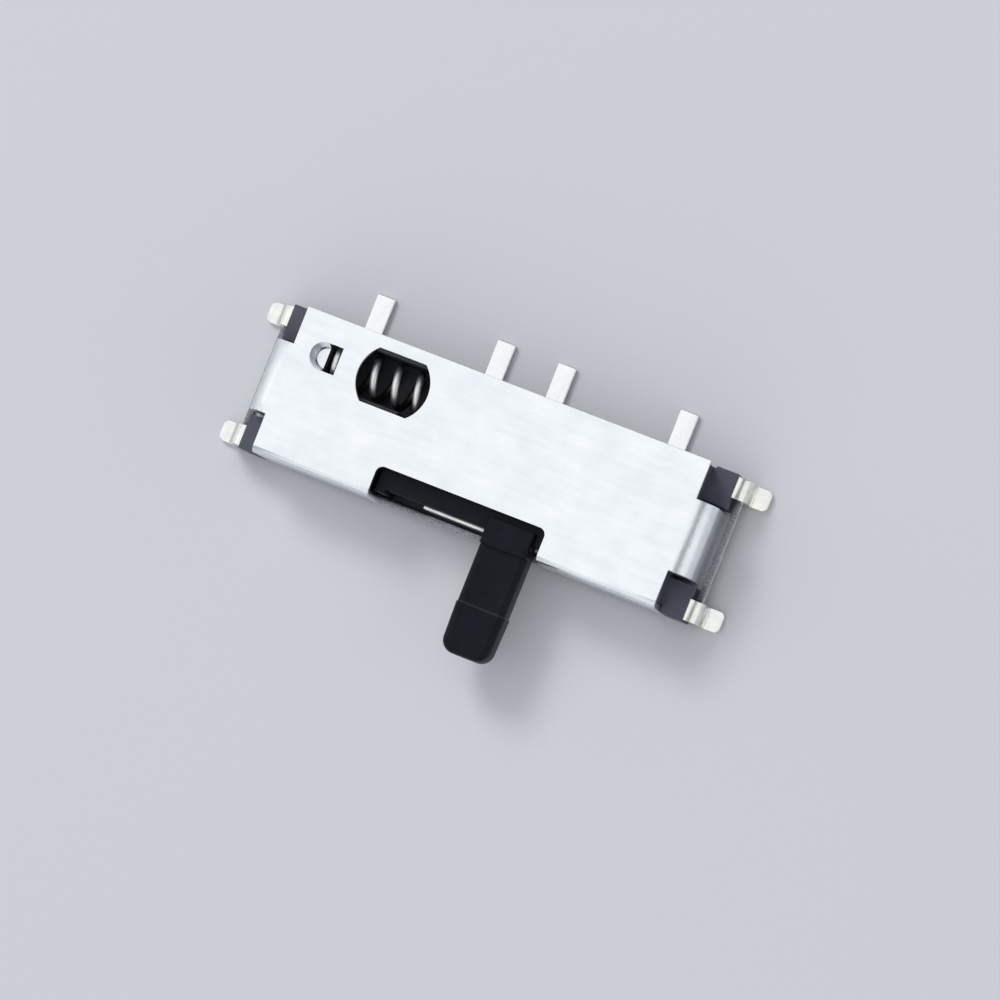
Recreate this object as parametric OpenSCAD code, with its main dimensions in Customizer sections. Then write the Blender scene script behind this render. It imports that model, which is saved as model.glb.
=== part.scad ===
// Spring-return slide switch for a printed circuit board.
// A moulded base holds four terminals and two solder brackets, a folded sheet cover
// closes it, and a slider with a front knob runs between the two, pushed to one end
// of its travel by a coil spring and carrying a wiper over the contacts.
// The origin is the middle of the body on the board plane. +X runs along the travel
// towards the end where the slider rests, -Y is the knob side and +Z is up.

/* [Body] */
// Length of the cover's top plate, along the travel
body_len = 9.8; // [9.4:0.1:13]
// Depth of the cover's top plate, from the front wall to the back edge
body_dep = 3.5; // [3.4:0.1:5]
// Height of the cover's top above the board
body_h = 2; // [1.9:0.05:2.6]

/* [Cover] */
// Thickness of the cover's sheet
sheet = 0.15; // [0.1:0.01:0.2]
// Outer radius of the bend from the top plate into the front wall
front_bend = 0.2; // [0.2:0.05:0.3]
// Gap between the front wall's lower edge and the board
front_foot_gap = 0.2; // [0.1:0.05:0.4]
// Width of the flap at each end
flap_w = 1.7; // [1.2:0.1:2]
// Distance that each flap stands out past the top plate, also its bend radius
flap_reach = 0.5; // [0.4:0.05:0.6]
// Length of the flap's toe, folded under the base
flap_toe = 0.45; // [0.35:0.05:0.5]
// Outer radius of the fold above the toe
toe_bend = 0.2; // [0.2:0.05:0.3]
// Gap under the toe
toe_gap = 0.02; // [0.01:0.01:0.05]
// Depth of the notch that the knob travels in, from the front of the top plate
notch_dep = 0.75; // [0.55:0.05:0.85]
// Corner radius of the notch
notch_r = 0.16; // [0.05:0.01:0.2]
// Free play of the knob at each end of the notch
notch_play = 0.22; // [0.1:0.02:0.4]
// Height of the lip under the notch, above the board
lip_h = 0.75; // [0.6:0.05:0.85]
// Diameter of the spring window
window_d = 1.7; // [1.2:0.1:1.8]
// Distance across the window's two flats
window_flat = 1.28; // [0.9:0.02:1.3]
// Distance of the window's centre from the left edge of the top plate
window_in = 2.46; // [2.3:0.02:3]
// Radius of the spring stop, a half dish pressed into the top plate
dish_r = 0.32; // [0.28:0.01:0.34]
// Depth of the half dish
dish_dep = 0.38; // [0.34:0.01:0.5]
// Radius of the dish's flat bottom
dish_floor_r = 0.24; // [0.15:0.01:0.26]
// Length of the opening in front of the half dish
dish_slot = 0.36; // [0.24:0.02:0.5]

/* [Base] */
// Thickness of the base's back wall
back_wall = 0.31; // [0.3:0.01:0.4]
// Thickness of the base's end walls
end_wall = 0.28; // [0.25:0.01:0.3]
// Height of the contact floor above the board
floor_h = 0.4; // [0.35:0.01:0.42]
// Height of the deck that the slider and the spring run over
deck_h = 0.58; // [0.56:0.01:0.62]
// Height of the ledge behind the cover's front wall
ledge_h = 0.5; // [0.46:0.01:0.52]
// Height of the corner blocks
block_h = 1.05; // [0.95:0.05:1.2]
// Distance that the corner blocks stand out past the top plate
block_out = 0.55; // [0.5:0.01:0.7]
// Gap between a corner block and the flap beside it
block_gap = 0.08; // [0.05:0.01:0.12]
// Thickness of the fence between the spring and the slider
fence_t = 0.1; // [0.06:0.01:0.1]
// Distance of the spring's seat from the left edge of the top plate
seat_in = 0.78; // [0.76:0.01:0.95]

/* [Slider] */
// Travel of the slider
travel = 2.5; // [1.8:0.1:2.8]
// Width of the knob's root and neck
knob_w = 1.15; // [0.9:0.05:1.4]
// Width of the knob at its tip
tip_w = 1.12; // [0.9:0.02:1.25]
// Distance that the knob stands out in front of the cover
knob_out = 2.55; // [1.6:0.05:4]
// Length of the knob's head
head_len = 1.15; // [0.6:0.05:1.3]
// Thickness of the knob's neck
neck_h = 0.87; // [0.6:0.01:0.9]
// Step all round from the neck out to the head
head_step = 0.02; // [0.02:0.01:0.1]
// Corner radius of the knob
knob_r = 0.14; // [0.05:0.01:0.2]
// Corner radius of the knob's tip, seen from above
tip_r = 0.3; // [0.1:0.01:0.4]
// Drop from the slider's top to the strip that shows in the notch
strip_drop = 0.18; // [0.1:0.01:0.3]
// Length of the guide pads at the ends of that strip
guide_len = 0.25; // [0.15:0.01:0.4]
// Distance from the knob's middle to the face that the spring pushes
push_back = 0.85; // [0.4:0.05:1.2]
// Gap between the spring and the spigot that centres it on the slider
spigot_gap = 0.065; // [0.03:0.005:0.1]
// Length of the spigot
spigot_len = 0.45; // [0.2:0.05:0.6]

/* [Wiper] */
// Thickness of the wiper's sheet
wiper_t = 0.08; // [0.05:0.01:0.1]
// Length of the wiper
wiper_len = 4.2; // [3.6:0.1:4.8]
// Height of the wiper's front flange above its plate
flange_h = 0.84; // [0.4:0.02:0.9]
// Length of each contact finger
finger_len = 1.4; // [1:0.1:1.6]
// Diameter of the two pegs that hold the wiper on the slider
peg_d = 0.36; // [0.25:0.01:0.4]

/* [Return spring] */
// Diameter of the spring wire
wire_d = 0.16; // [0.12:0.01:0.18]
// Play of the spring above and below, between the deck and the cover
spring_play = 0.11; // [0.05:0.01:0.15]
// Play of the spring beside the back wall
spring_side_play = 0.045; // [0.03:0.005:0.1]
// Distance between the turns of the spring
spring_pitch = 0.53; // [0.45:0.01:0.7]

/* [Terminals] */
// Distance between the two middle terminals
inner_pitch = 1.5; // [1.3:0.1:2]
// Distance between a middle terminal and the outer one beside it
outer_pitch = 3; // [2.4:0.1:3.1]
// Width of a terminal's lead
lead_w = 0.45; // [0.3:0.01:0.5]
// Thickness of the terminals
lead_t = 0.15; // [0.1:0.01:0.18]
// Distance that the leads stand out behind the cover
lead_out = 0.98; // [0.5:0.01:1.5]
// Gap between the front contact track and the back one
track_space = 0.5; // [0.4:0.01:0.6]

/* [Solder brackets] */
// Thickness of the brackets
bracket_t = 0.15; // [0.1:0.01:0.16]
// Width of the solder feet
foot_w = 0.5; // [0.35:0.01:0.6]
// Distance that the feet stand out past the top plate
foot_out = 1.3; // [1.1:0.01:1.6]
// Outer radius of the bend at the top of the bracket's legs
bracket_bend = 0.35; // [0.25:0.01:0.4]
// Outer radius of the bend above the feet
foot_bend = 0.2; // [0.18:0.01:0.25]
// Corner radius of the feet, seen from above
foot_r = 0.14; // [0.05:0.01:0.16]
// Height of the bar that joins the two legs
bar_h = 0.35; // [0.2:0.01:0.4]
// Height of the bar's lower edge above the board
bar_z = 0.22; // [0.2:0.01:0.3]

/* [Hidden] */

// Smoothness of the round shapes, and the number of steps in a quarter bend
$fn = 64;
bend_steps = 8;
// Overrun of every cut
over = 0.3;

// Running gap of the sliding faces, gap of the fixed fits, and gap over the slider
run_gap = 0.03;
fit_gap = 0.02;
top_gap = 0.05;
// Gap between the slider and each end wall at the limits of its travel
stop_gap = 0.05;

// Cover
half_len = body_len / 2;
half_dep = body_dep / 2;
front_inner = -half_dep + sheet;
cover_under = body_h - sheet;
notch_len = travel + knob_w + 2 * notch_play;
window_x = -half_len + window_in;
seat_x = -half_len + seat_in;
dish_x = seat_x - fit_gap;
// Wall of the half dish, thinned where it is pressed
dish_wall = 0.06;
flap_face = half_len + flap_reach;

// Base: its upper part keeps inside the cover's edges
base_inset = 0.05;
base_end = half_len - base_inset;
base_back = half_dep - base_inset;
base_front = front_inner + fit_gap;
cavity_half = base_end - end_wall;
back_inner = base_back - back_wall;
block_end = half_len + block_out;
block_in = flap_w / 2 + block_gap;
// Space left for the flap between the base and the flap's inner face
rib_end = flap_face - sheet - fit_gap;
rib_top = body_h - flap_reach - sheet;
toe_room = toe_gap + sheet + fit_gap;

// Spring: it fills the room between the deck and the cover
spring_d = cover_under - deck_h - 2 * spring_play;
spring_y = back_inner - spring_side_play - spring_d / 2;
spring_z = deck_h + spring_play + spring_d / 2;
spring_r = (spring_d - wire_d) / 2;
spigot_d = spring_d - 2 * wire_d - 2 * spigot_gap;

// Slider
slider_len = 2 * cavity_half - travel - 2 * stop_gap;
slider_x = travel / 2;
slider_z = ledge_h + run_gap + wiper_t;
slider_top = cover_under - top_gap;
front_play = 0.155;
slider_front = front_inner + front_play;
bar_back_gap = 0.155;
bar_back = spring_y - spring_d / 2 - bar_back_gap;
strip_top = slider_top - strip_drop;
strip_cover = 0.05;
strip_back = -half_dep + notch_dep + strip_cover;
guide_gap = 0.05;
guide_front = front_inner + guide_gap;
push_x = slider_x - push_back;
knob_clear = 0.1;
neck_z = lip_h + knob_clear;
neck_top = neck_z + neck_h;
knob_tip = -half_dep - knob_out;
head_y = knob_tip + head_len;
head_half = knob_w / 2 + head_step;
root_clear = 0.16;
root_back = -half_dep + notch_dep - root_clear;
// The root stops just outside the cover's front face
root_front = -half_dep - fit_gap;

// Contact tracks: the front track is common, the back track holds three pads
track_gap = 0.3;
well_front = base_front + track_gap;
well_back = bar_back - fit_gap;
track_edge = 0.08;
track_w = (well_back - well_front - 2 * track_edge - track_space) / 2;
front_track = well_front + track_edge + track_w / 2;
back_track = well_back - track_edge - track_w / 2;
pad_inner = 0.2;
pad_outer = 0.5;
pad_half = 0.45;
stem_w = 0.25;
// The common stem rises through the gap between the left pad and the middle one
stem_x = -(travel / 2 - pad_inner + pad_half) / 2;
jog_len = 0.3;
jog_in = 0.1;
jog_y = well_back + jog_in + jog_len;
// The leads step down to the board inside the back wall
step_y = base_back - back_wall / 2;
lead_tip = half_dep + lead_out;
outer_x = inner_pitch / 2 + outer_pitch;

// Wiper
flange_y = slider_front - wiper_t;
flange_top = slider_z + flange_h;
flange_gap = 0.03;
contact_gap = 0.02;
// Fingers: as shares of a track's width and of the finger's own length
finger_w_share = 0.7;
finger_slot_share = 0.14;
finger_flat_share = 0.2;
finger_w = track_w * finger_w_share;
finger_slot = track_w * finger_slot_share;
peg_gap = 0.02;
peg_reach_share = 0.38;
peg_x = wiper_len * peg_reach_share;
peg_y = (front_track + back_track) / 2;

// Solder brackets
leg_in = block_end + bracket_bend - bracket_t;
foot_end = half_len + foot_out;
foot_inset = 0.04;
foot_y = half_dep - foot_inset - foot_w / 2;
leg_top_gap = 0.1;
leg_top = block_h - leg_top_gap;
tang_len = 0.55;
// Overlap of the joining bar with the legs: it is set in behind them
bar_lap = 0.03;

// Points of an arc, from one angle to another
function arc(x, y, r, from, to) =
    [for (i = [0:bend_steps]) let (a = from + (to - from) * i / bend_steps)
        [x + r * cos(a), y + r * sin(a)]];

// Box between two corners
module box(low, high) {
    translate(low) cube(high - low);
}

// Outline in Y and Z, drawn along X between two places
module along_x(from, to) {
    translate([from, 0, 0]) rotate([90, 0, 90]) linear_extrude(to - from) children();
}

// Outline in X and Z, drawn along Y and centred on a place
module along_y(middle, width) {
    translate([0, middle + width / 2, 0]) rotate([90, 0, 0]) linear_extrude(width) children();
}

// Flat outline in X and Y, drawn upwards between two heights
module upright(low, high) {
    translate([0, 0, low]) linear_extrude(high - low) children();
}

// Rectangle with round corners, between two corners
module round_rect(low, high, r) {
    polygon(concat(
        arc(low[0] + r, low[1] + r, r, 180, 270),
        arc(high[0] - r, low[1] + r, r, 270, 360),
        arc(high[0] - r, high[1] - r, r, 0, 90),
        arc(low[0] + r, high[1] - r, r, 90, 180)));
}

// A shape and its mirror image across X
module both_ends() {
    children();
    mirror([1, 0, 0]) children();
}

// A shape and its mirror image across Y
module both_sides() {
    children();
    mirror([0, 1, 0]) children();
}

// Cover: one folded sheet

module cover_section() {
    polygon(concat(
        [[half_dep, body_h]],
        arc(-half_dep + front_bend, body_h - front_bend, front_bend, 90, 180),
        [[-half_dep, front_foot_gap], [front_inner, front_foot_gap]],
        arc(-half_dep + front_bend, body_h - front_bend, front_bend - sheet, 180, 90),
        [[half_dep, cover_under]]));
}

module flap_section() {
    bend_z = body_h - flap_reach;
    toe_x = flap_face - toe_bend;
    toe_z = toe_gap + toe_bend;
    toe_end = flap_face - flap_toe;
    polygon(concat(
        [[half_len - over, cover_under], [half_len - over, body_h]],
        arc(half_len, bend_z, flap_reach, 90, 0),
        arc(toe_x, toe_z, toe_bend, 0, -90),
        [[toe_end, toe_gap], [toe_end, toe_gap + sheet]],
        arc(toe_x, toe_z, toe_bend - sheet, -90, 0),
        arc(half_len, bend_z, flap_reach - sheet, 0, 90)));
}

module notch_cut() {
    upright(lip_h, body_h + over)
        round_rect([-notch_len / 2, -half_dep - over], [notch_len / 2, -half_dep + notch_dep], notch_r);
}

module window_cut() {
    translate([window_x, spring_y, cover_under - over])
        intersection() {
            cylinder(d = window_d, h = sheet + 2 * over);
            translate([-window_d, -window_flat / 2, 0])
                cube([2 * window_d, window_flat, sheet + 2 * over]);
        }
}

// Opening over the end of the spring: a half disc, and a slot in front of it
module dish_cut() {
    deep = sheet + 2 * over;
    translate([dish_x, spring_y, cover_under - over]) {
        intersection() {
            cylinder(r = dish_r, h = deep);
            translate([-2 * dish_r, -2 * dish_r, 0]) cube([2 * dish_r + dish_slot / 2, 4 * dish_r, deep]);
        }
        translate([0, -dish_r, 0]) cube([dish_slot, 2 * dish_r, deep]);
    }
}

// Half dish that stops the spring: its wall slopes down to a flat floor
module half_dish() {
    low = body_h - dish_dep;
    rim = cover_under + sheet / 2;
    translate([dish_x, spring_y, 0]) rotate([0, 0, 90])
        rotate_extrude(angle = 180)
            polygon([
                [0, low - sheet], [dish_floor_r + dish_wall, low - sheet],
                [dish_r + dish_wall, cover_under], [dish_r + dish_wall, rim], [dish_r, rim],
                [dish_r, body_h], [dish_floor_r, low], [0, low]]);
}

module cover() {
    color("gainsboro") {
        difference() {
            union() {
                along_x(-half_len, half_len) cover_section();
                both_ends() along_y(0, flap_w) flap_section();
            }
            notch_cut();
            window_cut();
            dish_cut();
        }
        half_dish();
    }
}

// Terminals: flat leads moulded into the base, with their contact tracks in its well

// A strip of terminal sheet at track height, between two corners seen from above
module strip(low, high) {
    box([low[0], low[1], floor_h - lead_t], [high[0], high[1], floor_h]);
}

// A lead, from a place inside the base, down its step and out over the board
module lead(x, from_y) {
    strip([x - lead_w / 2, from_y], [x + lead_w / 2, step_y]);
    box([x - lead_w / 2, step_y - lead_t, 0], [x + lead_w / 2, step_y, floor_h]);
    box([x - lead_w / 2, step_y - lead_t, 0], [x + lead_w / 2, lead_tip, lead_t]);
}

// A stem from a track back to the jog that joins it to its lead
module jogged_lead(stem, from_y, x) {
    left = min(stem - stem_w / 2, x - lead_w / 2);
    right = max(stem + stem_w / 2, x + lead_w / 2);
    strip([stem - stem_w / 2, from_y], [stem + stem_w / 2, jog_y]);
    strip([left, jog_y - jog_len], [right, jog_y]);
    lead(x, jog_y - jog_len);
}

// Outer terminal: its pad meets the wiper at the end of the travel
module outer_terminal() {
    low = back_track - track_w / 2;
    strip([travel / 2 - pad_inner, low], [outer_x + lead_w / 2, low + track_w]);
    lead(outer_x, low);
}

module common_terminal() {
    low = front_track - track_w / 2;
    reach = travel / 2 + pad_outer;
    strip([-reach, low], [reach, low + track_w]);
    jogged_lead(stem_x, low, -inner_pitch / 2);
}

module middle_terminal() {
    low = back_track - track_w / 2;
    strip([-pad_half, low], [pad_half, low + track_w]);
    jogged_lead(pad_half - stem_w / 2, low, inner_pitch / 2);
}

module terminal_1() { color("silver") mirror([1, 0, 0]) outer_terminal(); }
module terminal_2() { color("silver") common_terminal(); }
module terminal_3() { color("silver") middle_terminal(); }
module terminal_4() { color("silver") outer_terminal(); }

// Solder brackets: each is one bent stamping, its two tangs moulded into the corner blocks

module bracket_section() {
    leg_x = leg_in + bracket_t;
    bend_x = leg_x - bracket_bend;
    tang_x = leg_in - tang_len;
    foot_x = leg_in + foot_bend;
    polygon(concat(
        [[tang_x, leg_top]],
        arc(bend_x, leg_top - bracket_bend, bracket_bend, 90, 0),
        arc(foot_x, foot_bend, foot_bend - bracket_t, 180, 270),
        [[foot_end, bracket_t], [foot_end, 0]],
        arc(foot_x, foot_bend, foot_bend, 270, 180),
        arc(bend_x, leg_top - bracket_bend, bracket_bend - bracket_t, 0, 90),
        [[tang_x, leg_top - bracket_t]]));
}

module bracket_legs() {
    both_sides()
        intersection() {
            along_y(foot_y, foot_w) bracket_section();
            upright(-over, body_h)
                round_rect([half_len - foot_out, foot_y - foot_w / 2],
                           [foot_end, foot_y + foot_w / 2], foot_r);
        }
}

module solder_bracket() {
    bracket_legs();
    bar_out = leg_in + bar_lap;
    box([bar_out - bracket_t, -foot_y, bar_z], [bar_out, foot_y, bar_z + bar_h]);
}

module solder_bracket_right() { color("wheat") solder_bracket(); }
module solder_bracket_left() { color("wheat") mirror([1, 0, 0]) solder_bracket(); }

// Base: one moulding, with the terminals and the brackets' tangs set in it

module base_body() {
    box([-base_end, base_front, 0], [base_end, base_back, cover_under]);
    both_ends() both_sides()
        box([half_len + fit_gap, block_in, 0], [block_end, half_dep, block_h]);
    both_ends() {
        box([base_end - end_wall, base_front, 0], [block_end, -block_in, block_h]);
        box([base_end - end_wall, block_in, 0], [block_end, base_back, block_h]);
        box([base_end - end_wall, -block_in + block_gap, 0], [rib_end, block_in - block_gap, rib_top]);
    }
}

// Room for the slider, the spring and the wiper, open to the front above the ledge
module base_cavity() {
    box([-cavity_half, base_front - over, ledge_h], [cavity_half, well_back, body_h]);
    box([-cavity_half, well_back - over, deck_h], [cavity_half, back_inner, body_h]);
    box([-cavity_half, well_front, floor_h], [cavity_half, well_back, body_h]);
}

// Post behind the spring's end, under the cover's half dish
module spring_seat() {
    seat_top = body_h - dish_dep - sheet - fit_gap;
    seat_front = spring_y - spring_d / 2;
    box([-base_end, seat_front, deck_h - over], [seat_x, base_back, seat_top]);
}

// Low fence that keeps the spring off the slider, up to where the slider's push face stops
module spring_fence() {
    fence_y = bar_back + run_gap;
    box([-base_end, fence_y, deck_h - over],
        [push_x - travel - stop_gap, fence_y + fence_t, spring_z + spring_r]);
}

module toe_recess() {
    toe_in = flap_face - flap_toe - fit_gap;
    box([toe_in, -block_in, -over], [block_end + over, block_in, toe_room]);
}

module base() {
    color("dimgray")
        difference() {
            union() {
                difference() {
                    base_body();
                    base_cavity();
                }
                spring_seat();
                spring_fence();
            }
            both_ends() {
                toe_recess();
                solder_bracket();
            }
            terminal_1();
            terminal_2();
            terminal_3();
            terminal_4();
        }
}

// Slider: one moulding, the knob included

module slider_bars() {
    left = slider_x - slider_len / 2;
    right = slider_x + slider_len / 2;
    box([left, slider_front, slider_z], [right, bar_back, strip_top]);
    box([left, strip_back, slider_z], [right, bar_back, slider_top]);
    box([push_x, bar_back - over, deck_h + run_gap], [right, back_inner - run_gap, slider_top]);
    box([left, guide_front, slider_z], [left + guide_len, strip_back, strip_top]);
    box([right - guide_len, guide_front, slider_z], [right, strip_back, strip_top]);
}

// A stretch of the knob between two places along Y, wider all round by a step
module knob_stretch(from, to, top, step) {
    half = knob_w / 2 + step;
    along_y((from + to) / 2, to - from)
        round_rect([slider_x - half, neck_z - step], [slider_x + half, top + step], knob_r);
}

// The head seen from above: it narrows to a tip with round corners
module head_plan() {
    tip_x = tip_w / 2 - tip_r;
    polygon(concat(
        [[slider_x - head_half, head_y]],
        arc(slider_x - tip_x, knob_tip + tip_r, tip_r, 180, 270),
        arc(slider_x + tip_x, knob_tip + tip_r, tip_r, 270, 360),
        [[slider_x + head_half, head_y]]));
}

// Knob: a root that stands up in the notch, a neck, and a head with a rounded tip
module knob() {
    knob_stretch(root_front, root_back, slider_top, 0);
    knob_stretch(head_y - head_len / 2, root_back, neck_top, 0);
    intersection() {
        knob_stretch(knob_tip, head_y, neck_top, head_step);
        upright(0, body_h) head_plan();
        along_x(slider_x - knob_w, slider_x + knob_w)
            round_rect([knob_tip, neck_z - head_step], [head_y + over, neck_top + head_step], knob_r);
    }
}

// Spigot that centres the spring on the face that it pushes
module spigot() {
    translate([push_x + over, spring_y, spring_z]) rotate([0, -90, 0])
        cylinder(d = spigot_d, h = spigot_len + over);
}

module pegs() {
    for (side = [-1, 1])
        translate([slider_x + side * peg_x, peg_y, slider_z - wiper_t])
            cylinder(d = peg_d, h = wiper_t + over);
}

module slider() {
    color("dimgray") {
        slider_bars();
        knob();
        spigot();
        pegs();
    }
}

// Wiper: one thin stamping under the slider, with two fingers bent down to the tracks

module wiper_plate() {
    low = slider_z - wiper_t;
    difference() {
        box([slider_x - wiper_len / 2, flange_y, low],
            [slider_x + wiper_len / 2, well_back - run_gap, slider_z]);
        for (y = [front_track, back_track])
            box([slider_x - finger_len / 2, y - finger_w / 2 - finger_slot, low - over],
                [slider_x + finger_len / 2, y + finger_w / 2 + finger_slot, slider_z + over]);
        for (side = [-1, 1])
            translate([slider_x + side * peg_x, peg_y, low - over])
                cylinder(d = peg_d + 2 * peg_gap, h = wiper_t + 2 * over);
    }
}

// Finger: a bow in X and Z, flat where it meets the track, its ends let into the plate
module finger(y) {
    high = slider_z;
    low = floor_h + contact_gap;
    flat = finger_len * finger_flat_share / 2;
    bow = finger_len / 2;
    end = bow + finger_slot;
    along_y(y, finger_w)
        translate([slider_x, 0])
            polygon([
                [-end, high], [-bow, high], [-flat, low + wiper_t],
                [flat, low + wiper_t], [bow, high], [end, high],
                [end, high - wiper_t], [bow, high - wiper_t], [flat, low],
                [-flat, low], [-bow, high - wiper_t], [-end, high - wiper_t]]);
}

// Front flange in two halves, with the knob between them
module flanges() {
    inner = knob_w / 2 + flange_gap;
    low = slider_z - wiper_t;
    box([slider_x - wiper_len / 2, flange_y, low], [slider_x - inner, slider_front, flange_top]);
    box([slider_x + inner, flange_y, low], [slider_x + wiper_len / 2, slider_front, flange_top]);
}

module wiper() {
    color("silver") {
        wiper_plate();
        finger(front_track);
        finger(back_track);
        flanges();
    }
}

// Return spring: a right-handed coil along X, its end turns closed up

wire_sides = 8;
rings_per_turn = 18;
seat_gap = 0.01;
coil_from = seat_x + seat_gap + wire_d / 2;
coil_to = push_x - seat_gap - wire_d / 2;
closed_pitch = wire_d + seat_gap;
open_turns = (coil_to - coil_from - 2 * closed_pitch) / spring_pitch;
coil_turns = open_turns + 2;
coil_rings = ceil(coil_turns * rings_per_turn);
// Angle at which the wire starts, so that a turn's top stands in the middle of the window
window_turns = 1 + (window_x - coil_from - closed_pitch) / spring_pitch;
start_angle = 90 - 360 * (window_turns - floor(window_turns));

// Place along X after a number of turns: one closed turn, the open turns, one closed turn
function coil_x(turn) = coil_from
    + closed_pitch * (min(turn, 1) + max(turn - 1 - open_turns, 0))
    + spring_pitch * min(max(turn - 1, 0), open_turns);

// One ring of the wire's skin, square to the coil's circle
function wire_ring(turn) =
    let (a = start_angle + 360 * turn, x = coil_x(turn))
    [for (k = [0:wire_sides - 1]) let (b = 360 * k / wire_sides, r = spring_r + wire_d / 2 * cos(b))
        [x + wire_d / 2 * sin(b), spring_y + r * cos(a), spring_z + r * sin(a)]];

module return_spring() {
    rings = [for (i = [0:coil_rings]) wire_ring(coil_turns * i / coil_rings)];
    points = [for (ring = rings) each ring];
    last = coil_rings * wire_sides;
    skin = [for (i = [0:coil_rings - 1]) for (k = [0:wire_sides - 1])
        let (p = i * wire_sides, next = (k + 1) % wire_sides)
        each [[p + k, p + next, p + wire_sides + k],
              [p + next, p + wire_sides + next, p + wire_sides + k]]];
    start_cap = [[for (k = [wire_sides - 1:-1:0]) k]];
    end_cap = [[for (k = [0:wire_sides - 1]) last + k]];
    color("lightgray") polyhedron(points, concat(skin, start_cap, end_cap));
}

base();
cover();
slider();
wiper();
return_spring();
terminal_1();
terminal_2();
terminal_3();
terminal_4();
solder_bracket_left();
solder_bracket_right();
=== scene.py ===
import math
import bmesh
import bpy
from mathutils import Matrix, Vector


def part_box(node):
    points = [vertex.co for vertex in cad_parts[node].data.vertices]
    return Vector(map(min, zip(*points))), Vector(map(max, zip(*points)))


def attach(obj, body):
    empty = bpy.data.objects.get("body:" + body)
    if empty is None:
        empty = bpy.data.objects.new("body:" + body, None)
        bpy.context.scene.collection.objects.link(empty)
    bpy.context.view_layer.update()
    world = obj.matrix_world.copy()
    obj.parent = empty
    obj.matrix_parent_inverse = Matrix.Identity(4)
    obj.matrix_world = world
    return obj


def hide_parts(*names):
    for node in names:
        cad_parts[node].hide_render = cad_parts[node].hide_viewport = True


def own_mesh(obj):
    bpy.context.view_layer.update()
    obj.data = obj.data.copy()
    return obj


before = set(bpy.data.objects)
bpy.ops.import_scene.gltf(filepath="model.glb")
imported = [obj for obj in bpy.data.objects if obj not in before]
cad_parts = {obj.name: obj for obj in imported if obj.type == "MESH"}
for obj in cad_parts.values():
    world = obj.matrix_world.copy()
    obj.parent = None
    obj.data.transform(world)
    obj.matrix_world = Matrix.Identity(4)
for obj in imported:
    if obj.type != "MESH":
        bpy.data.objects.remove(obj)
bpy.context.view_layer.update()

# Base
# One black moulding, the tray that everything else sits in. It keeps the shape of its solid,
# with the slightly broken edges and the spark-eroded grain of a moulded part.
mm = 0.001
one_point = 0.001  # points nearer than this, in millimetres, are one
one_plane = 1  # faces that differ by less than this, in degrees, are one
edge_steps = 2
base_edge = 0.02
base_half = 4.85


def alone(piece):
    """Makes one object the only selected one, and the active one."""
    bpy.ops.object.select_all(action="DESELECT")
    bpy.context.view_layer.objects.active = piece
    piece.select_set(True)


def edit(piece):
    """Opens a piece in edit mode, with all of it selected."""
    alone(piece)
    bpy.ops.object.mode_set(mode="EDIT")
    bpy.ops.mesh.select_mode(type="FACE")
    bpy.ops.mesh.select_all(action="SELECT")


def done():
    """Leaves edit mode."""
    bpy.ops.object.mode_set(mode="OBJECT")


def apply(piece, kind, **settings):
    """Puts a modifier on a piece, sets it up and applies it."""
    alone(piece)
    modifier = piece.modifiers.new(kind.lower(), kind)
    for name, value in settings.items():
        setattr(modifier, name, value)
    bpy.ops.object.modifier_apply(modifier=modifier.name)


def whole_faces(piece, near=one_point):
    """Merges points nearer than a length in millimetres, and the faces that lie in one plane."""
    edit(piece)
    bpy.ops.mesh.remove_doubles(threshold=near * mm)
    bpy.ops.mesh.dissolve_limited(angle_limit=math.radians(one_plane))
    done()


def break_edges(piece, width, sharper_than, outer_only):
    """A fine bevel on the sharp edges of a piece: on all of them, narrowed to what the shortest
    one allows, or at its full width on the outer ones alone."""
    shape = bmesh.new()
    shape.from_mesh(piece.data)
    weight = shape.edges.layers.float.new("bevel_weight_edge")
    for edge in shape.edges:
        sharp = edge.calc_face_angle() > math.radians(sharper_than)
        edge[weight] = float(sharp and (edge.is_convex or not outer_only))
    shape.to_mesh(piece.data)
    shape.free()
    apply(piece, "BEVEL", width=width * mm, segments=edge_steps, limit_method="WEIGHT",
          use_clamp_overlap=not outer_only)
    edit(piece)
    bpy.ops.mesh.remove_doubles(threshold=one_point * mm)
    done()


def shade(piece, sharper_than):
    """Shades the bends of a piece smooth, and keeps its flat faces flat."""
    alone(piece)
    bpy.ops.object.shade_smooth_by_angle(angle=math.radians(sharper_than))
    apply(piece, "WEIGHTED_NORMAL", keep_sharp=True)


def soften(piece, width, sharper_than=32, outer_only=False):
    """Breaks the edges of a piece that are sharper than an angle in degrees, and shades it."""
    break_edges(piece, width, sharper_than, outer_only)
    shade(piece, sharper_than)


def worked_copy(node, name):
    """A copy of a solid from the frame, its loose triangles joined up into whole faces."""
    piece = bpy.data.objects.new(name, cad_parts[node].data.copy())
    bpy.context.scene.collection.objects.link(piece)
    piece.data.materials.clear()
    whole_faces(piece)
    return piece


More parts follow.
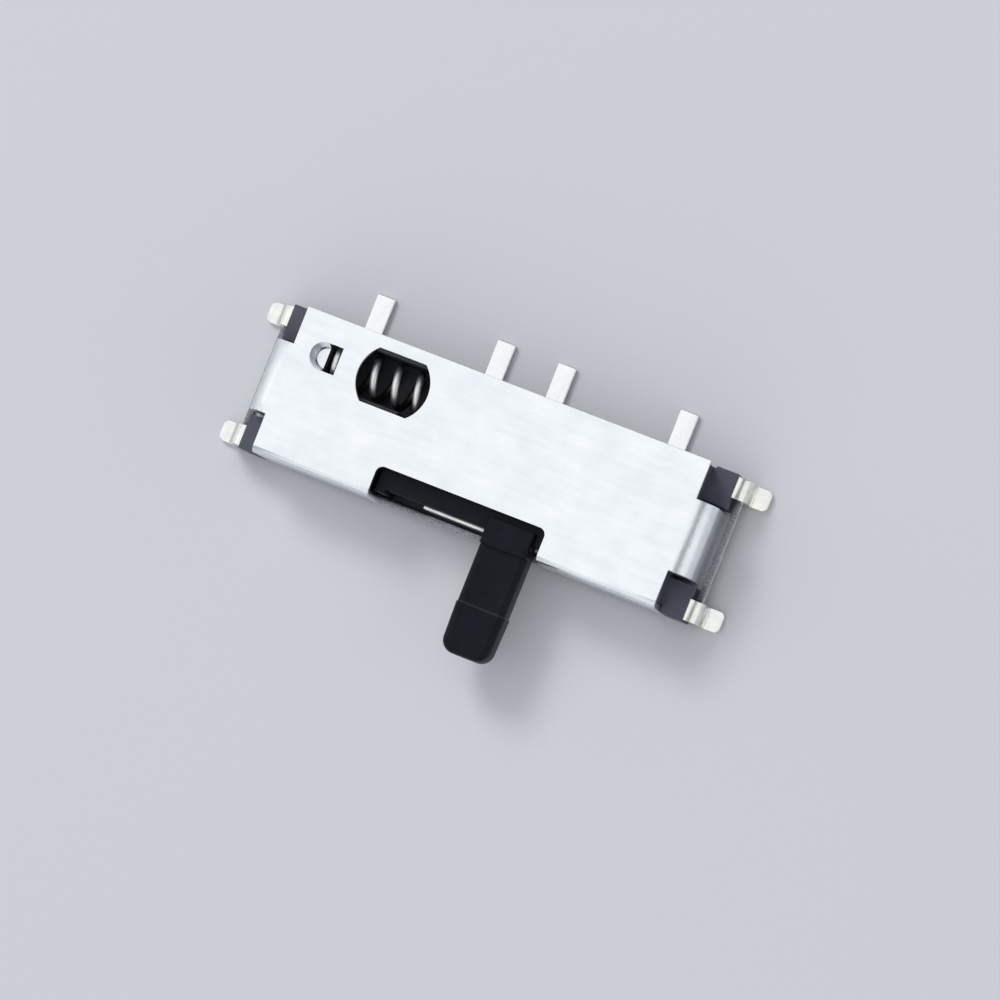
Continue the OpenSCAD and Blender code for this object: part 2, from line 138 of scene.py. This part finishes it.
class Tone:
    """A shader socket. Sums and products of tones add the Math nodes that work them out."""

    def __init__(self, tree, socket):
        self.tree = tree
        self.socket = socket

    def node(self, kind, settings=None, out=0, **sockets):
        """Adds a node and gives one of its outputs. Its settings come first, then its sockets'
        values or links, by name or by number."""
        made = self.tree.nodes.new(kind)
        for name, value in (settings or {}).items():
            setattr(made, name, value)
        for name, value in sockets.items():
            socket = made.inputs[int(name[1:]) if name[1:].isdigit() else name.replace("_", " ")]
            if isinstance(value, Tone):
                self.tree.links.new(value.socket, socket)
            else:
                socket.default_value = value
        return Tone(self.tree, made.outputs[out])

    def maths(self, operation, first, second):
        """Adds a Math node with two values."""
        return self.node("ShaderNodeMath", {"operation": operation}, i0=first, i1=second)

    def __add__(self, other):
        return self.maths("ADD", self, other)

    def __sub__(self, other):
        return self.maths("SUBTRACT", self, other)

    def __rsub__(self, other):
        return self.maths("SUBTRACT", other, self)

    def __mul__(self, other):
        return self.maths("MULTIPLY", self, other)

    __radd__ = __add__
    __rmul__ = __mul__

    def __abs__(self):
        return self.node("ShaderNodeMath", {"operation": "ABSOLUTE"}, i0=self)

    def along(self, axis):
        """How far this place lies along x, y or z, in millimetres."""
        return self.node("ShaderNodeSeparateXYZ", out="xyz".index(axis), Vector=self) * (1 / mm)

    def between(self, low, high):
        """This tone spread so that low becomes 0 and high becomes 1."""
        return self.node("ShaderNodeMapRange", Value=self, From_Min=low, From_Max=high)

    def blend(self, dark, light):
        """A colour between two others, by this tone."""
        return self.node("ShaderNodeMix", {"data_type": "RGBA"}, out=2, i0=self, i6=dark, i7=light)

    def grain(self, size, stretch=(1, 1, 1), detail=2.0, roughness=0.5):
        """Noise with grains of a size in millimetres, drawn out along each axis by its stretch."""
        scale = [1 / (size * mm * s) for s in stretch]
        spread = self.node("ShaderNodeVectorMath", {"operation": "MULTIPLY"}, i0=self, i1=scale)
        return self.node("ShaderNodeTexNoise", Vector=spread, Scale=1.0, Detail=detail,
                         Roughness=roughness)

    def bump(self, height, depth, strength):
        """A surface normal from a height, its depth in millimetres."""
        return self.node("ShaderNodeBump", Height=height, Distance=depth * mm, Strength=strength)


def finish(name):
    """A new material: its shader, and the place on the piece that its patterns follow."""
    material = bpy.data.materials.new(name)
    material.use_nodes = True
    tree = material.node_tree
    place = Tone(tree, tree.nodes.new("ShaderNodeTexCoord").outputs["Object"])
    return material, tree.nodes["Principled BSDF"], place


def feed(shader, **tones):
    """Links tones to a shader's sockets, or sets plain values on them."""
    for name, value in tones.items():
        socket = shader.inputs[name.replace("_", " ")]
        if isinstance(value, Tone):
            value.tree.links.new(value.socket, socket)
        else:
            socket.default_value = value


def moulded_plastic(name, dark, light, gloss, grain_size, shine, parting_y=None, lit_end_x=None):
    """Black moulded plastic: a fine eroded grain, faint clouding, flow lines and pale dust specks.
    By a place in millimetres, a painted highlight, a thin pale line where the mould parts across a
    piece, and painted light that makes the ends lying open beyond another place lighter."""
    material, shader, place = finish(name)
    grain = place.grain(grain_size, detail=3.0)
    cloud = place.grain(0.8, detail=2.0)
    flow = place.grain(0.10, stretch=(4, 1, 1))
    specks = place.grain(0.05, detail=1.0).between(0.70, 0.76)
    body = (cloud * 0.6 + flow * 0.4).between(0.35, 0.65).blend(dark, light)
    # Painted light: the open ends are painted lighter, so that the inside of the base stays darker
    # as in shade
    if lit_end_x is not None:
        open_end = abs(place.along("x")).between(lit_end_x - 0.4, lit_end_x + 0.1)
        painted_end_light = open_end * (0.45 + (cloud - 0.5) * 0.6)
        body = painted_end_light.blend(body, (0.115, 0.122, 0.165, 1))
    body = specks.blend(body, [tone * 2.2 for tone in light[:3]] + [1])
    # Painted highlight: a pale line along the parting step, where its edge would catch the light
    if parting_y is not None:
        off = abs(place.along("y") + (cloud - 0.5) * 0.03 - parting_y)
        body = (off.between(0.030, 0.012) * 0.4).blend(body, (0.055, 0.055, 0.060, 1))
    feed(shader, Base_Color=body, Roughness=gloss + (grain + cloud - 1.0) * 0.25,
         Normal=place.bump(grain + flow * 0.6, 0.004, 0.4), Specular_IOR_Level=shine)
    return material


base = worked_copy("base", "base_moulding")
soften(base, base_edge)
# The base's open ends carry painted light: they are painted lighter than its inside
base.data.materials.append(moulded_plastic(
    "base_plastic", (0.034, 0.037, 0.048, 1), (0.056, 0.061, 0.078, 1),
    gloss=0.52, grain_size=0.030, shine=0.25, lit_end_x=base_half))
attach(base, "housing")
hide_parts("base")

# Terminals
# Four flat leads blanked from silver-plated brass strip and moulded into the base. Their
# tracks lie in the base's well, and their free ends stand out behind it on the board.
lead_edge = 0.025


def plated_strip(name, dark, light, gloss, streak):
    """Plated strip metal: fine rolling lines, clouded plating, and small dull rubs."""
    material, shader, place = finish(name)
    lines = place.grain(0.02, stretch=streak, detail=3.0)
    cloud = place.grain(0.20, detail=3.0)
    rubs = place.grain(0.05, stretch=streak).between(0.58, 0.72)
    mix = (cloud * 0.7 + lines * 0.3).between(0.32, 0.68)
    feed(shader, Base_Color=mix.blend(dark, light), Metallic=1.0,
         Roughness=gloss + (cloud - 0.5) * 0.25 + rubs * 0.10,
         Normal=place.bump(lines + cloud * 0.5, 0.002, 0.3))
    return material


lead_metal = plated_strip("lead_plating", (0.87, 0.88, 0.89, 1), (0.97, 0.97, 0.96, 1),
                          gloss=0.24, streak=(1, 8, 1))
for number in (1, 2, 3, 4):
    lead = worked_copy(f"terminal_{number}", f"lead_{number}")
    soften(lead, lead_edge)
    lead.data.materials.append(lead_metal)
    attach(lead, "housing")
    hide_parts(f"terminal_{number}")

# Solder brackets
# One bent stamping at each end, tin-plated with a warm tint. Two tangs are moulded into the
# corner blocks, and the legs bend down to feet that are soldered to the board.
bracket_edge = 0.025
bracket_bar_half = 1.19
bracket_metal = plated_strip("bracket_plating", (0.74, 0.77, 0.79, 1), (0.98, 0.955, 0.80, 1),
                             gloss=0.22, streak=(1, 6, 1))


def cut_edge(name):
    """The sheared edge of plated sheet: dull bare metal, torn into specks and short lines."""
    material, shader, place = finish(name)
    tears = place.grain(0.035, detail=3.0)
    specks = place.grain(0.018, detail=1.0).between(0.55, 0.70)
    torn = tears.between(0.35, 0.65).blend((0.16, 0.16, 0.18, 1), (0.38, 0.38, 0.43, 1))
    feed(shader, Base_Color=(specks * 0.7).blend(torn, (0.62, 0.62, 0.66, 1)), Metallic=1.0,
         Roughness=0.5 + (tears - 0.5) * 0.3, Normal=place.bump(tears + specks * 0.5, 0.006, 0.5))
    return material


def dull(piece, material, test):
    """Gives a second finish to the faces of a piece that pass a test of middle and normal."""
    piece.data.materials.append(material)
    for face in piece.data.polygons:
        if test(face.center / mm, face.normal):
            face.material_index = len(piece.data.materials) - 1


bracket_cut = cut_edge("bracket_cut_edge")
for side in ("left", "right"):
    bracket = worked_copy(f"solder_bracket_{side}", f"bracket_{side}")
    soften(bracket, bracket_edge)
    bracket.data.materials.append(bracket_metal)
    dull(bracket, bracket_cut,
         lambda at, way: abs(way.z) > 0.5 and abs(at.y) < bracket_bar_half)
    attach(bracket, "housing")
    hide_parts(f"solder_bracket_{side}")

# Wiper
# A thin silver-plated spring stamping, staked under the slider by two pegs. Its fingers run on
# the tracks, and its front flange shows as a bright edge in the notch.
wiper_edge = 0.012
wiper = worked_copy("wiper", "wiper_stamping")
soften(wiper, wiper_edge)
wiper.data.materials.append(plated_strip(
    "wiper_plating", (0.60, 0.60, 0.58, 1), (0.90, 0.89, 0.86, 1), gloss=0.34, streak=(8, 1, 1)))
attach(wiper, "slider")
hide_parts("wiper")

# Slider
# One black moulding: a stepped bar that runs in the base, a boss that takes the spring, and the
# knob that a finger pushes. The knob has a root, a plain neck, and a head proud of a parting step.
slider_low, slider_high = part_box("slider")
bar_left = slider_low.x / mm
bar_right = slider_high.x / mm
knob_tip = slider_low.y / mm
boss_back = slider_high.y / mm
peg_under = slider_low.z / mm
bar_top = slider_high.z / mm
bar_under = 0.61
bar_front = -1.445
bar_back = 0.14
strip_back = -0.95
strip_top = 1.62
pad_long = 0.25
pad_proud = 0.105
push_x = 0.40
knob_x = 1.25
slider_edge, slider_sharp, slider_sliver = 0.018, 40, 0.009
hair = 0.01  # the room left in tests of a place, in millimetres
over = 0.3  # how far a shape runs on into the one it joins or cuts, in millimetres
on_cut = 1e-5  # points nearer to a cut than this, in millimetres, lie on it
sort_from = (13.71 * mm, -9.13 * mm, 21.97 * mm)


def block(name, low, high):
    """A cube between two corners, in millimetres, with its place in its mesh."""
    bpy.ops.object.select_all(action="DESELECT")
    bpy.ops.mesh.primitive_cube_add(
        size=1, location=[(a + b) / 2 * mm for a, b in zip(low, high)],
        scale=[(b - a) * mm for a, b in zip(low, high)])
    bpy.ops.object.transform_apply(location=True, rotation=True, scale=True)
    bpy.context.object.name = name
    return bpy.context.object


def rod(radius, length, middle, sides, turned=(0, 0, 0)):
    """A cylinder about a middle, in millimetres, upright or turned, with its place in its mesh."""
    bpy.ops.object.select_all(action="DESELECT")
    bpy.ops.mesh.primitive_cylinder_add(
        vertices=sides, radius=radius * mm, depth=length * mm,
        location=[c * mm for c in middle], rotation=turned)
    bpy.ops.object.transform_apply(location=True, rotation=True, scale=True)
    return bpy.context.object


def pick(piece, kind, test):
    """Selects, in edit mode, the faces or edges that pass a test of their middle, in millimetres,
    and of their way: a face's normal or an edge's direction."""
    bpy.ops.mesh.select_mode(type=kind)
    bpy.ops.mesh.select_all(action="DESELECT")
    shape = bmesh.from_edit_mesh(piece.data)
    shape.normal_update()
    for part in (shape.faces if kind == "FACE" else shape.edges):
        middle = sum((corner.co for corner in part.verts), Vector()) / len(part.verts) / mm
        way = part.normal if kind == "FACE" else (part.verts[1].co - part.verts[0].co).normalized()
        part.select_set(test(middle, way))
    bmesh.update_edit_mesh(piece.data)


def slice_at(point, normal, **clear):
    """Cuts the whole mesh by a plane, its point in millimetres."""
    bpy.ops.mesh.select_all(action="SELECT")
    bpy.ops.mesh.bisect(plane_co=[c * mm for c in point], plane_no=normal, threshold=on_cut * mm,
                        **clear)


def pull(x=0, y=0, z=0):
    """Draws the selected faces or edges out into new ones."""
    bpy.ops.mesh.extrude_region_move(TRANSFORM_OT_translate={"value": (x * mm, y * mm, z * mm)})


def swell(middle, **times):
    """Scales what is selected about a point in millimetres."""
    bpy.ops.transform.resize(value=[times.get(axis, 1) for axis in "xyz"],
                             center_override=[c * mm for c in middle])


def merge(piece, other, operation):
    """Joins another closed shape to a piece, cuts it out of it, or keeps what the two share. The
    result is sorted by its distance from a point off to one side, because its order can vary."""
    apply(piece, "BOOLEAN", object=other, operation=operation, solver="EXACT")
    bpy.data.objects.remove(other, do_unlink=True)
    bpy.context.scene.cursor.location = sort_from
    edit(piece)
    bpy.ops.mesh.sort_elements(type="CURSOR_DISTANCE", elements={"VERT", "EDGE", "FACE"})
    done()


slider = block("slider_moulding",
               (bar_left, bar_front, bar_under), (bar_right, bar_back, strip_top))
edit(slider)
slice_at((0, strip_back, 0), (0, 1, 0))
pick(slider, "FACE", lambda at, way: way.z > 0.9 and at.y > strip_back)
pull(z=bar_top - strip_top)
for x in (push_x, bar_left + pad_long, bar_right - pad_long):
    slice_at((x, 0, 0), (1, 0, 0))
pick(slider, "FACE", lambda at, way: way.y > 0.9 and at.x > push_x and at.y > 0)
pull(y=boss_back - bar_back)
pick(slider, "FACE", lambda at, way: way.y < -0.9 and at.y < strip_back - hair
     and not bar_left + pad_long < at.x < bar_right - pad_long)
pull(y=-pad_proud)
done()

# Knob: the root stands up in the notch, and the neck and the head follow it
root_front, root_back, root_round = -1.77, -1.16, 0.08
neck_half, neck_under, neck_top = 0.575, 0.85, 1.72
head_y, head_step = -3.15, 0.02
tip_half, tip_round, knob_round = 0.56, 0.30, 0.20
round_steps, tip_steps = 6, 8
sink_round, sink, sink_long = 2.4, 0.055, 8
knob_middle = (neck_under + neck_top) / 2


def rounded_along_y(piece, radius, above=-math.inf, below=math.inf):
    """Rounds the long edges of a block that run along the knob, between two heights."""
    edit(piece)
    pick(piece, "EDGE", lambda at, way: abs(way.y) > 0.7 and above < at.z < below)
    bpy.ops.mesh.bevel(offset=radius * mm, segments=round_steps, affect="EDGES")
    done()


def hollow(piece, top):
    """Sinks the top of a part of the knob into a shallow trough, as a thick moulding cools."""
    trough = rod(sink_round, sink_long, (knob_x, head_y, top + sink_round - sink), sides=256,
                 turned=(math.radians(90), 0, 0))
    merge(piece, trough, "DIFFERENCE")


root = block("root", (knob_x - neck_half, root_front, neck_under),
             (knob_x + neck_half, root_back, bar_top))
rounded_along_y(root, root_round, above=knob_middle)
rounded_along_y(root, knob_round, below=knob_middle)
neck = block("neck", (knob_x - neck_half, head_y - over, neck_under),
             (knob_x + neck_half, root_back, neck_top))
rounded_along_y(neck, knob_round)
hollow(neck, neck_top)
head = block("head", (knob_x - neck_half - head_step, knob_tip, neck_under - head_step),
             (knob_x + neck_half + head_step, head_y, neck_top + head_step))
edit(head)
pick(head, "FACE", lambda at, way: way.y < -0.9)
swell((knob_x, knob_tip, 0), x=tip_half / (neck_half + head_step))
pick(head, "EDGE", lambda at, way: abs(way.z) > 0.9 and at.y < knob_tip + hair)
bpy.ops.mesh.bevel(offset=tip_round * mm, segments=tip_steps, affect="EDGES")
pick(head, "EDGE", lambda at, way: abs(way.z) < 0.5 and at.y < head_y - hair)
bpy.ops.mesh.bevel(offset=knob_round * mm, segments=round_steps, affect="EDGES")
done()
hollow(head, neck_top + head_step)

# The spigot inside the spring's end, its nose tapered, and the pegs that hold the wiper
spring_y, spring_z = 0.82, 1.215
spigot_round, spigot_long, nose_in, nose_out = 0.30, 0.45, 0.08, 0.04
peg_round, peg_long, peg_y, peg_apart = 0.18, 0.3, -0.58, 1.596
spigot = rod(spigot_round, 2 * spigot_long, (push_x, spring_y, spring_z), sides=48,
             turned=(0, math.radians(90), 0))
edit(spigot)
pick(spigot, "FACE", lambda at, way: way.x < -0.9)
bpy.ops.mesh.inset(thickness=nose_in * mm)
bpy.ops.transform.translate(value=(-nose_out * mm, 0, 0))
done()
for part in (root, neck, head, spigot):
    merge(slider, part, "UNION")
for side in (-1, 1):
    peg_middle = (knob_x + side * peg_apart, peg_y, peg_under + peg_long / 2)
    merge(slider, rod(peg_round, peg_long, peg_middle, sides=32), "UNION")
whole_faces(slider, near=slider_sliver)
soften(slider, slider_edge, sharper_than=slider_sharp, outer_only=True)
# The knob's parting step carries a painted highlight, a pale line across the knob
slider.data.materials.append(moulded_plastic(
    "slider_plastic", (0.0022, 0.0028, 0.0060, 1), (0.0050, 0.0062, 0.0125, 1),
    gloss=0.42, grain_size=0.025, shine=0.14, parting_y=head_y))
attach(slider, "slider")
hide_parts("slider")

# Return spring
# Drawn steel wire wound into a right-handed coil with closed end turns. One end stands on
# the base's post and the cover's half dish, the other on the slider's boss.
spring_low, spring_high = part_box("return_spring")
wire = 0.17 * mm
pitch = 0.53 * mm
closed = wire * 1.06
window_x = -2.44
steps_per_turn = 36
spring_sharp = 50
coil_radius = (spring_high.z - spring_low.z - wire) / 2
coil_middle = (spring_low + spring_high) / 2
first = spring_low.x + wire / 2
last = spring_high.x - wire / 2
open_turns = (last - first - 2 * closed) / pitch
turns = open_turns + 2
steps = math.ceil(turns * steps_per_turn)

# The coil starts at the angle that brings a turn to the top in the middle of the cover's window
window_turns = 1 + (window_x * mm - first - closed) / pitch
start = math.pi / 2 - 2 * math.pi * (window_turns - math.floor(window_turns))
path = bpy.data.curves.new("spring_path", "CURVE")
path.dimensions = "3D"
path.bevel_depth = wire / 2
path.bevel_resolution = 4
path.use_fill_caps = True
line = path.splines.new("POLY")
line.points.add(steps)
for i, point in enumerate(line.points):
    wound = turns * i / steps
    angle = start + 2 * math.pi * wound
    x = first + closed * (min(wound, 1) + max(wound - 1 - open_turns, 0))
    x += pitch * min(max(wound - 1, 0), open_turns)
    point.co = (x, coil_middle.y + coil_radius * math.cos(angle),
                coil_middle.z + coil_radius * math.sin(angle), 1)
spring = bpy.data.objects.new("spring_coil", path)
bpy.context.scene.collection.objects.link(spring)
alone(spring)
bpy.ops.object.convert(target="MESH")
bpy.ops.object.shade_smooth_by_angle(angle=math.radians(spring_sharp))

# Bright on top, and painted shade lower down: below the top turns the wire is painted dark brown,
# for turns that lie in shade
spring_material, spring_shader, spring_place = finish("spring_wire")
draw_lines = spring_place.grain(0.03, stretch=(1, 6, 6))
blotch_and_shade_edge = spring_place.grain(0.25, detail=3.0)
painted_shade_low = (spring_place.along("z") + blotch_and_shade_edge * 0.1).between(spring_z + 0.46, spring_z + 0.26)
bright = (draw_lines * 0.4 + blotch_and_shade_edge * 0.6).between(0.35, 0.65).blend(
    (0.78, 0.77, 0.74, 1), (0.90, 0.90, 0.88, 1))
feed(spring_shader, Base_Color=painted_shade_low.blend(bright, (0.10, 0.09, 0.07, 1)),
     Metallic=1.0, Roughness=0.40 + draw_lines * 0.12,
     Normal=spring_place.bump(draw_lines, 0.001, 0.2))
spring.data.materials.clear()
spring.data.materials.append(spring_material)
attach(spring, "housing")
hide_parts("return_spring")
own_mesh(spring)

# Cover
# One sheet of bright plated steel, pierced and folded: a top plate, a front wall with the
# knob's notch, and two end flaps whose toes are folded under the base to hold it.
cover_low, cover_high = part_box("cover")
flap_face = cover_high.x / mm
cover_top = cover_high.z / mm
cover_back = cover_high.y / mm
cover_front = cover_low.y / mm
toe_under = cover_low.z / mm
sheet = 0.15
plate_half = 4.9
front_bend = 0.20
wall_foot = 0.20
flap_half = 0.85
toe_bend = 0.20
toe_long = 0.45
bend_steps = 8
cover_edge, cover_sharp, cover_sliver = 0.018, 35, 0.004
plate_front = cover_front + front_bend
flap_reach = flap_face - plate_half


def turn(at, axis, angle):
    """Spins the selected edges a quarter round an axis through a point in millimetres."""
    bpy.ops.mesh.spin(steps=bend_steps, angle=-angle, center=[c * mm for c in at], axis=axis)


def face_up(piece):
    """Turns the faces of a skin to one side, so that its largest face looks up."""
    edit(piece)
    bpy.ops.mesh.normals_make_consistent(inside=False)
    done()
    if max(piece.data.polygons, key=lambda face: face.area).normal.z < 0:
        edit(piece)
        bpy.ops.mesh.flip_normals()
        done()


# The outer skin first: the plate, then the flap at each end, then the front wall
bpy.ops.object.select_all(action="DESELECT")
bpy.ops.mesh.primitive_plane_add(
    size=1, location=(0, (plate_front + cover_back) / 2 * mm, cover_top * mm))
cover = bpy.context.object
cover.name = "cover_sheet"
cover.scale = (2 * plate_half * mm, (cover_back - plate_front) * mm, 1)
bpy.ops.object.transform_apply(location=True, rotation=True, scale=True)
edit(cover)
for y in (-flap_half, flap_half):
    slice_at((0, y, 0), (0, 1, 0))
for side in (-1, 1):
    pick(cover, "EDGE",
         lambda at, way: at.x * side > plate_half - hair and abs(at.y) < flap_half - hair)
    turn((side * plate_half, 0, cover_top - flap_reach), (0, 1, 0), side * math.pi / 2)
    pull(z=toe_under + toe_bend - (cover_top - flap_reach))
    turn((side * (flap_face - toe_bend), 0, toe_under + toe_bend), (0, 1, 0), side * math.pi / 2)
    pull(x=-side * (toe_long - toe_bend))
pick(cover, "EDGE", lambda at, way: at.y < plate_front + hair and at.z > cover_top - hair)
turn((0, plate_front, cover_top - front_bend), (1, 0, 0), math.pi / 2)
pull(z=wall_foot - (cover_top - front_bend))
bpy.ops.mesh.select_all(action="SELECT")
bpy.ops.mesh.remove_doubles(threshold=one_point * mm)
done()
face_up(cover)
apply(cover, "SOLIDIFY", thickness=sheet * mm, offset=-1, use_even_offset=True)

# The notch for the knob, its inner corners rounded
notch_half, notch_back, lip_top, notch_round = 2.045, -1.00, 0.75, 0.16
notch = block("notch", (-notch_half, cover_front - over, lip_top),
              (notch_half, notch_back, cover_top + over))
edit(notch)
pick(notch, "EDGE", lambda at, way: abs(way.z) > 0.9 and at.y > notch_back - hair)
bpy.ops.mesh.bevel(offset=notch_round * mm, segments=round_steps, affect="EDGES")
done()
merge(cover, notch, "DIFFERENCE")

# The double-D window over the spring
window_round, window_half_flat = 0.85, 0.64
punch_long = 1.0
clear_of = 1  # beyond the ends of a punch, in millimetres
window = rod(window_round, punch_long, (window_x, spring_y, cover_top), sides=96)
flats = block(
    "flats", (window_x - 2 * clear_of, spring_y - window_half_flat, cover_top - clear_of),
    (window_x + 2 * clear_of, spring_y + window_half_flat, cover_top + clear_of))
merge(window, flats, "INTERSECT")
merge(cover, window, "DIFFERENCE")

# The opening over the spring's end: half round, then straight. Then the outer edges are broken
dish_x, dish_round, slot_long = -4.14, 0.32, 0.36
opening = rod(dish_round, punch_long, (dish_x, spring_y, cover_top), sides=64)
half = block("half", (dish_x - clear_of, spring_y - clear_of, cover_top - clear_of),
             (dish_x + slot_long / 2, spring_y + clear_of, cover_top + clear_of))
merge(opening, half, "INTERSECT")
slot = block("slot", (dish_x, spring_y - dish_round, cover_top - punch_long / 2),
             (dish_x + slot_long, spring_y + dish_round, cover_top + punch_long / 2))
merge(opening, slot, "UNION")
merge(cover, opening, "DIFFERENCE")
whole_faces(cover, near=cover_sliver)
break_edges(cover, cover_edge, cover_sharp, outer_only=True)

# The half dish pressed down in the opening: a rim drawn in and down by steps of radius and drop
dish_rim, rim_drop, dish_sheet = 0.335, 0.02, 0.06
dish_steps = ((0.315, 0.06), (0.295, 0.11), (0.278, 0.10), (0.256, 0.06), (0.230, 0.03))
bpy.ops.object.select_all(action="DESELECT")
bpy.ops.mesh.primitive_circle_add(
    vertices=64, radius=dish_rim * mm, fill_type="NOTHING",
    location=(dish_x * mm, spring_y * mm, (cover_top - rim_drop) * mm))
dish = bpy.context.object
bpy.ops.object.transform_apply(location=True, rotation=True, scale=True)
edit(dish)
pick(dish, "EDGE", lambda at, way: True)
reach = dish_rim
for smaller, drop in dish_steps:
    pull(z=-drop)
    swell((dish_x, spring_y, 0), x=smaller / reach, y=smaller / reach)
    reach = smaller
bpy.ops.mesh.edge_face_add()
slice_at((dish_x, 0, 0), (1, 0, 0), clear_outer=True)
done()
face_up(dish)
apply(dish, "SOLIDIFY", thickness=dish_sheet * mm, offset=-1, use_even_offset=True)
merge(cover, dish, "UNION")
whole_faces(cover)
shade(cover, cover_sharp)

# Streaks along the body, and on the bent ends a duller, uneven skin
cover_material, cover_shader, cover_place = finish("cover_sheet")
streaks = cover_place.grain(0.016, stretch=(30, 1, 1), detail=4.0, roughness=0.6)
broad = cover_place.grain(0.14, stretch=(9, 1, 1))
mottle = cover_place.grain(0.6, detail=3.0)
scuffs = cover_place.grain(0.03, stretch=(14, 1, 1), detail=1.0).between(0.66, 0.76)
bent = abs(cover_place.along("x")).between(plate_half - 0.05, plate_half + 0.1)
peel = cover_place.grain(0.10, detail=3.0, roughness=0.6)
bright = (streaks * 0.30 + broad * 0.25 + mottle * 0.45).between(0.34, 0.66).blend(
    (0.78, 0.81, 0.845, 1), (0.92, 0.932, 0.935, 1))
feed(cover_shader, Base_Color=bright, Metallic=1.0,
     Roughness=0.25 + (streaks - 0.5) * 0.20 + (mottle - 0.5) * 0.05 + scuffs * 0.08 + bent * 0.06,
     Normal=cover_place.bump(streaks + broad * 0.5 + peel * bent * 26.0, 0.0015, 0.2))
cover.data.materials.append(cover_material)
dull(cover, cut_edge("cover_cut_edge"),
     lambda at, way: way.z > 0.5 and at.y < plate_front and at.z < lip_top + hair)
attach(cover, "housing")
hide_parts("cover")

# Stage
# A plain pale floor on the board plane, soft lamps above, behind, in front and at both ends,
# and a camera that looks down on the part from the rest end.
floor_size = 2.0
aim = Vector((0.818, -0.751, 2.0)) * mm
bpy.ops.mesh.primitive_plane_add(size=floor_size, location=(0, 0, 0))
floor = bpy.context.object
floor.name = "floor"
floor_material, floor_shader, floor_place = finish("floor_paper")
paper = floor_place.grain(0.06, detail=3.0).between(0.3, 0.7)
feed(floor_shader, Base_Color=paper.blend((0.585, 0.595, 0.625, 1), (0.60, 0.61, 0.64, 1)),
     Roughness=0.9)
floor.data.materials.append(floor_material)


def soft_lamp(name, azimuth, height, away, size, glow, mirrored=True):
    """A square soft lamp, by its direction in degrees, its distance and its size in metres, and
    the brightness of its face, where 1 is white. One that isn't mirrored gives light and shadow,
    and the metal doesn't show it."""
    data = bpy.data.lights.new(name, "AREA")
    data.shape = "SQUARE"
    data.size = size
    data.energy = glow * math.pi * size * size
    lamp = bpy.data.objects.new(name, data)
    bpy.context.scene.collection.objects.link(lamp)
    level = math.cos(math.radians(height))
    way = Vector((level * math.cos(math.radians(azimuth)), level * math.sin(math.radians(azimuth)),
                  math.sin(math.radians(height))))
    turned = way.to_track_quat("Z", "Y").to_matrix().to_4x4()
    lamp.matrix_world = Matrix.Translation(aim + way * away) @ turned
    lamp.visible_glossy = mirrored


soft_lamp("lamp_above", azimuth=165, height=72, away=0.40, size=0.60, glow=0.755)
soft_lamp("lamp_behind", azimuth=138, height=46, away=0.50, size=0.16, glow=12.0, mirrored=False)
soft_lamp("lamp_rest_end", azimuth=-5, height=13, away=0.45, size=0.56, glow=0.70)
soft_lamp("lamp_spring_end", azimuth=178, height=18, away=0.45, size=0.36, glow=0.65)
soft_lamp("lamp_front", azimuth=-95, height=30, away=0.50, size=0.51, glow=0.62)

world = bpy.data.worlds.new("room")
bpy.context.scene.world = world
world.use_nodes = True
sky = world.node_tree.nodes["Background"]
feed(sky, Color=(0.86, 0.92, 1.0, 1), Strength=0.32)

# The camera is set by what it looks at, the width it sees there, and its backward and right ways
frame_width = 22.175 * mm
camera_data = bpy.data.cameras.new("camera")
camera_data.sensor_width = 36
camera_data.lens = 156.3
camera_data.clip_start = 1 * mm
camera = bpy.data.objects.new("camera", camera_data)
bpy.context.scene.collection.objects.link(camera)
distance = frame_width * camera_data.lens / camera_data.sensor_width
back = Vector((0.1992, -0.0424, 1)).normalized()
right = Vector((0.914, 0.370, -0.166))
right = (right - back * right.dot(back)).normalized()
up = back.cross(right)
camera.matrix_world = (Matrix.Translation(aim + back * distance)
                       @ Matrix((right, up, back)).transposed().to_4x4())
bpy.context.scene.camera = camera

bpy.context.scene.view_settings.view_transform = "Standard"
